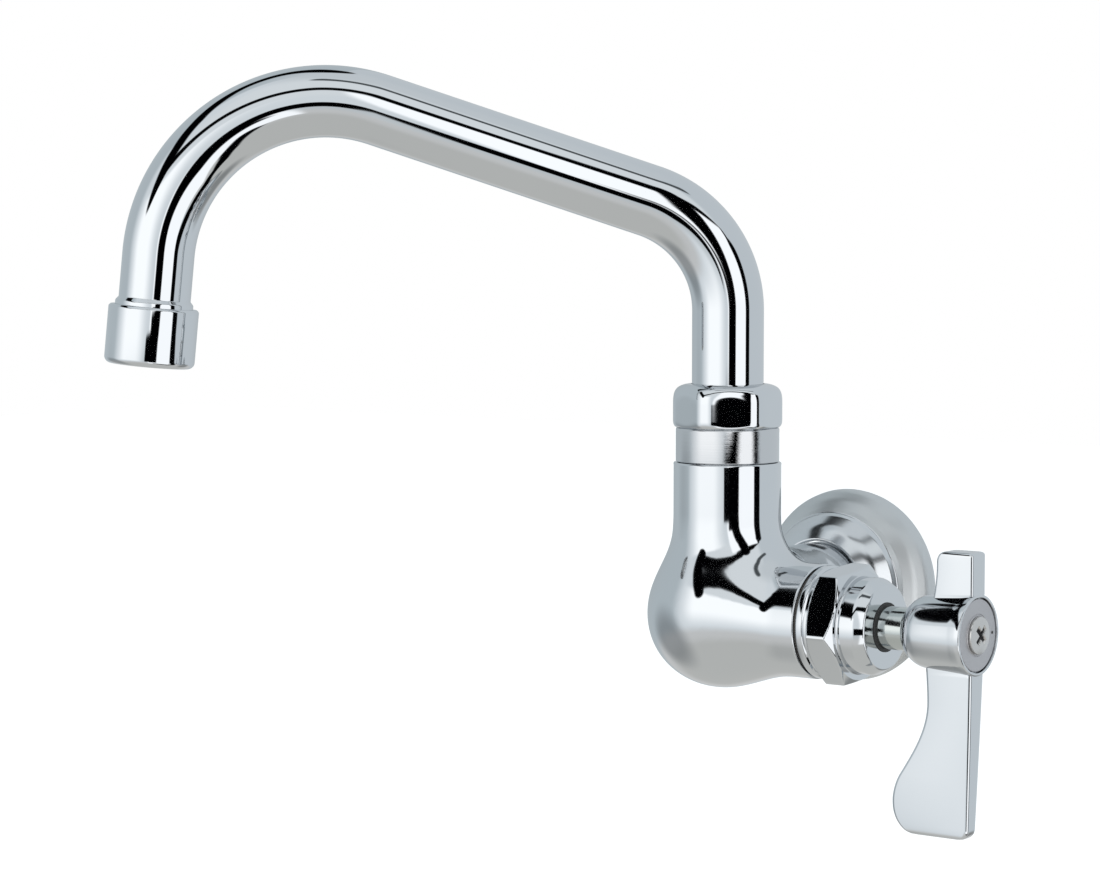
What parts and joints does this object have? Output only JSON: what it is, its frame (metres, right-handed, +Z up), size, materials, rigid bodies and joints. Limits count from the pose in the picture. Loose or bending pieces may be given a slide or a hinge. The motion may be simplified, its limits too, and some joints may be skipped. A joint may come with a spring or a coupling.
{
  "type": "wall mounted swing spout faucet",
  "caption": "Chrome single-hole wall faucet: rising swing spout with gooseneck end and aerator, round-bellied body, bell flange and hanging quarter-turn lever.",
  "frame": {"origin": "middle of the inlet thread's mouth, in the plane of the wall surface that the flange meets", "axes": "+Y into the wall along the inlet, +X towards the lever, +Z up"},
  "size_m": [0.2114, 0.1679, 0.1972],
  "materials": {
    "cast_chrome": "polished chrome on a brass casting",
    "flange_chrome": "polished chrome",
    "tube_chrome": "polished chrome tube",
    "nut_chrome": "polished chrome with a turned skirt",
    "outlet_chrome": "polished chrome",
    "aerator_chrome": "polished chrome",
    "bonnet_chrome": "polished chrome",
    "lever_chrome": "polished chrome on a cast lever",
    "stem_metal": "dull nickel finish",
    "satin_insert": "satin grey",
    "screw_steel": "stainless steel",
    "steel_mesh": "fine stainless screen",
    "steel_clip": "spring steel",
    "brass": "machined",
    "rubber": "matt black",
    "fibre": "pressed fibre",
    "white_plastic": "low friction plastic",
    "grey_plastic": "moulded",
    "ceramic": "lapped ceramic"
  },
  "bodies": {
    "body": {"faucet_body": "cast_chrome", "wall_flange": "flange_chrome", "flange_gasket": "rubber", "swivel_washer": "white_plastic", "spout_nut": "nut_chrome", "bonnet_nut": "bonnet_chrome", "bonnet_washer": "fibre", "cartridge_shell": "brass", "cartridge_seal": "rubber", "fixed_disc": "ceramic"},
    "spout": {"spout_tube": "tube_chrome", "spout_ferrule": "brass", "spout_orings": "rubber", "spout_split_ring": "brass", "outlet_thread": "outlet_chrome", "aerator_housing": "aerator_chrome", "aerator_washer": "rubber", "aerator_insert": "grey_plastic", "aerator_screen": "steel_mesh"},
    "lever": {"handle_lever": "lever_chrome", "handle_insert": "satin_insert", "handle_screw": "screw_steel", "valve_stem": "stem_metal", "stem_orings": "rubber", "stem_clip": "steel_clip", "stem_wiper": "rubber", "moving_disc": "ceramic"}
  },
  "joints": [
    {"name": "spout_swivel", "type": "hinge", "parent": "body", "child": "spout", "pos_m": [0, -0.064, 0.048], "axis": [0, 0, 1], "range_deg": [-54, 160]},
    {"name": "lever_turn", "type": "hinge", "parent": "body", "child": "lever", "pos_m": [0.05, -0.064, -0.002], "axis": [1, 0, 0], "range_deg": [-90, 0]}
  ]
}
